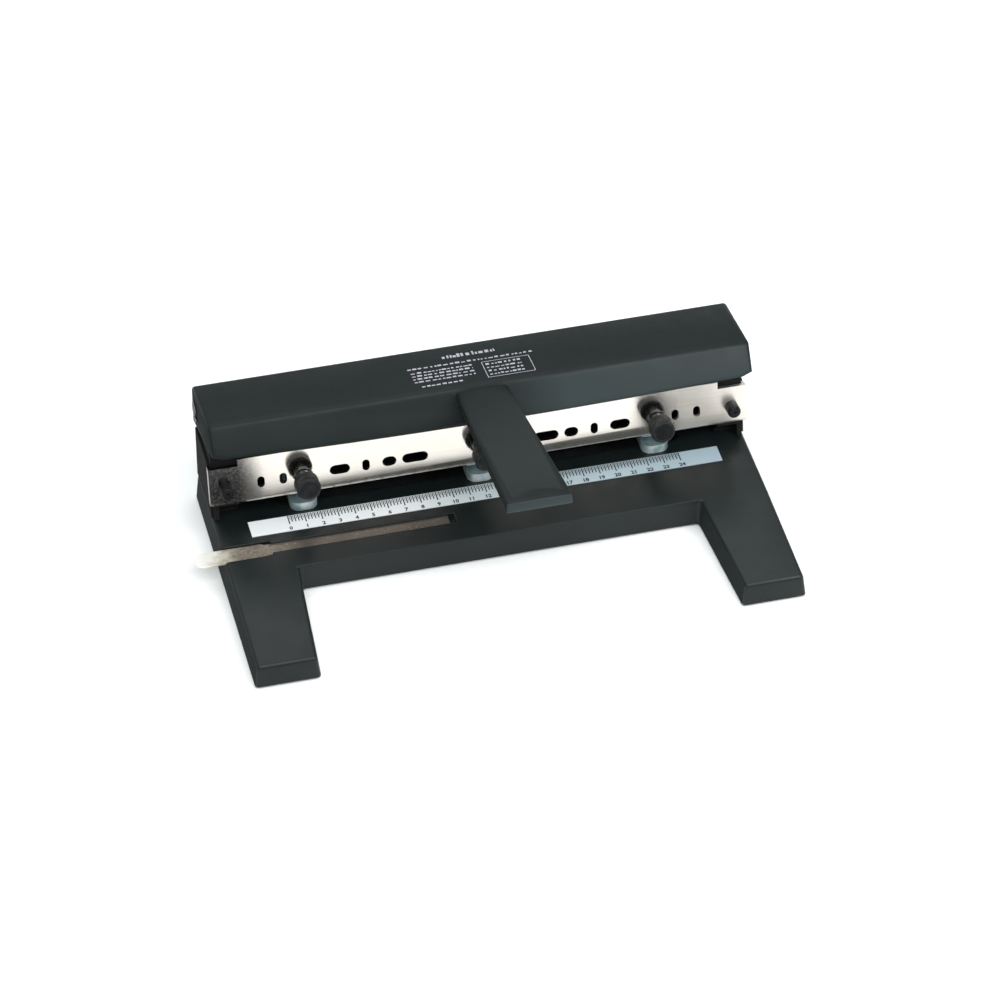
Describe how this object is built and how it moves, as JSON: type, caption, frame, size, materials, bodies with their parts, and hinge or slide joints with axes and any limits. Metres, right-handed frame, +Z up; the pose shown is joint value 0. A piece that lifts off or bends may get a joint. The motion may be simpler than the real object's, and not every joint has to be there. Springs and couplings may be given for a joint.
{
  "type": "adjustable hole punch",
  "caption": "Desk hole punch: a long press lever on a hinged cover drives punch pins in adjustable heads that thumbscrews clamp to a slotted bar, with a paper guide and a chip tray.",
  "frame": {"origin": "bottom centre of the bounding box, on the plane of the table that the feet rest on", "axes": "+X along the slotted bar to the user's right, +Y from the lever's tip towards the back, +Z up"},
  "size_m": [0.3452, 0.1908, 0.1205],
  "materials": {
    "base": "black satin paint with a fine texture on cast metal",
    "foot_front_left": "black rubber",
    "foot_front_right": "black rubber",
    "foot_rear_left": "black rubber",
    "foot_rear_right": "black rubber",
    "bottom_plate": "blackened steel",
    "plate_screw_front_left": "blackened steel",
    "plate_screw_front_right": "blackened steel",
    "plate_screw_rear_left": "blackened steel",
    "plate_screw_rear_right": "blackened steel",
    "ruler_strip": "pale blue-white printed metal strip with dark graduations",
    "left_side_frame": "black satin paint on pressed steel",
    "right_side_frame": "black satin paint on pressed steel",
    "frame_screw_front_left": "blackened steel",
    "frame_screw_front_right": "blackened steel",
    "frame_screw_rear_left": "blackened steel",
    "frame_screw_rear_right": "blackened steel",
    "back_panel": "black satin paint on pressed steel",
    "template_bar": "bright satin nickel plate on steel, slotted",
    "bar_screw_left": "blackened steel",
    "bar_screw_right": "blackened steel",
    "head_rail": "ground hardened steel",
    "pivot_shaft": "blackened steel",
    "pivot_clip_left": "blackened steel",
    "pivot_clip_right": "blackened steel",
    "lever_cover": "black satin paint with a fine texture on cast metal",
    "press_rod": "ground hardened steel",
    "head_body_left": "zinc-plated, slightly blue-green",
    "die_left": "ground hardened steel",
    "return_spring_left": "drawn spring wire",
    "punch_pin_left": "ground hardened steel",
    "thumbscrew_left": "blackened steel with a knurled head",
    "head_body_center": "zinc-plated, slightly blue-green",
    "die_center": "ground hardened steel",
    "return_spring_center": "drawn spring wire",
    "punch_pin_center": "ground hardened steel",
    "thumbscrew_center": "blackened steel with a knurled head",
    "head_body_right": "zinc-plated, slightly blue-green",
    "die_right": "ground hardened steel",
    "return_spring_right": "drawn spring wire",
    "punch_pin_right": "ground hardened steel",
    "thumbscrew_right": "blackened steel with a knurled head",
    "edge_guide": "bare spring steel with a dull, stained surface",
    "chip_tray": "black moulded plastic"
  },
  "bodies": {
    "frame": {"base": "base", "foot_front_left": "foot_front_left", "foot_front_right": "foot_front_right", "foot_rear_left": "foot_rear_left", "foot_rear_right": "foot_rear_right", "bottom_plate": "bottom_plate", "plate_screw_front_left": "plate_screw_front_left", "plate_screw_front_right": "plate_screw_front_right", "plate_screw_rear_left": "plate_screw_rear_left", "plate_screw_rear_right": "plate_screw_rear_right", "ruler_strip": "ruler_strip", "left_side_frame": "left_side_frame", "right_side_frame": "right_side_frame", "frame_screw_front_left": "frame_screw_front_left", "frame_screw_front_right": "frame_screw_front_right", "frame_screw_rear_left": "frame_screw_rear_left", "frame_screw_rear_right": "frame_screw_rear_right", "back_panel": "back_panel", "template_bar": "template_bar", "bar_screw_left": "bar_screw_left", "bar_screw_right": "bar_screw_right", "head_rail": "head_rail", "pivot_shaft": "pivot_shaft", "pivot_clip_left": "pivot_clip_left", "pivot_clip_right": "pivot_clip_right"},
    "lever": {"lever_cover": "lever_cover", "press_rod": "press_rod"},
    "head_left": {"head_body_left": "head_body_left", "die_left": "die_left", "return_spring_left": "return_spring_left"},
    "pin_left": {"punch_pin_left": "punch_pin_left"},
    "knob_left": {"thumbscrew_left": "thumbscrew_left"},
    "head_center": {"head_body_center": "head_body_center", "die_center": "die_center", "return_spring_center": "return_spring_center"},
    "pin_center": {"punch_pin_center": "punch_pin_center"},
    "knob_center": {"thumbscrew_center": "thumbscrew_center"},
    "head_right": {"head_body_right": "head_body_right", "die_right": "die_right", "return_spring_right": "return_spring_right"},
    "pin_right": {"punch_pin_right": "punch_pin_right"},
    "knob_right": {"thumbscrew_right": "thumbscrew_right"},
    "guide": {"edge_guide": "edge_guide"},
    "tray": {"chip_tray": "chip_tray"}
  },
  "joints": [
    {"name": "lever_hinge", "type": "hinge", "parent": "frame", "child": "lever", "pos_m": [0.0074, 0.08303, 0.073], "axis": [1, 0, 0], "range_deg": [0, 15.5], "stiffness_Nm_per_rad": 5, "springref_deg": -11.46},
    {"name": "head_slide_left", "type": "slide", "parent": "frame", "child": "head_left", "axis": [1, 0, 0], "range_m": [-0.0032, 0.0032]},
    {"name": "pin_slide_left", "type": "slide", "parent": "head_left", "child": "pin_left", "axis": [0, 0, -1], "range_m": [0, 0.007], "deforming": ["return_spring_left"]},
    {"name": "thumbscrew_turn_left", "type": "hinge", "parent": "head_left", "child": "knob_left", "pos_m": [-0.1006, 0.0457, 0.04302], "axis": [0, -0.9848, 0.1736], "range_deg": [0, 720]},
    {"name": "head_slide_center", "type": "slide", "parent": "frame", "child": "head_center", "axis": [1, 0, 0], "range_m": [-0.0032, 0.0032]},
    {"name": "pin_slide_center", "type": "slide", "parent": "head_center", "child": "pin_center", "axis": [0, 0, -1], "range_m": [0, 0.007], "deforming": ["return_spring_center"]},
    {"name": "thumbscrew_turn_center", "type": "hinge", "parent": "head_center", "child": "knob_center", "pos_m": [0.0074, 0.0457, 0.04302], "axis": [0, -0.9848, 0.1736], "range_deg": [0, 720]},
    {"name": "head_slide_right", "type": "slide", "parent": "frame", "child": "head_right", "axis": [1, 0, 0], "range_m": [-0.0032, 0.0032]},
    {"name": "pin_slide_right", "type": "slide", "parent": "head_right", "child": "pin_right", "axis": [0, 0, -1], "range_m": [0, 0.007], "deforming": ["return_spring_right"]},
    {"name": "thumbscrew_turn_right", "type": "hinge", "parent": "head_right", "child": "knob_right", "pos_m": [0.1154, 0.0457, 0.04302], "axis": [0, -0.9848, 0.1736], "range_deg": [0, 720]},
    {"name": "guide_slide", "type": "slide", "parent": "frame", "child": "guide", "axis": [-1, 0, 0], "range_m": [-0.003, 0.06]},
    {"name": "tray_slide", "type": "slide", "parent": "frame", "child": "tray", "axis": [0, 1, 0], "range_m": [0, 0.05]}
  ],
  "couplings": [
    {"joint": "pin_slide_left", "follows": "lever_hinge", "m_per_rad": 0.02569},
    {"joint": "pin_slide_center", "follows": "lever_hinge", "m_per_rad": 0.02569},
    {"joint": "pin_slide_right", "follows": "lever_hinge", "m_per_rad": 0.02569}
  ]
}
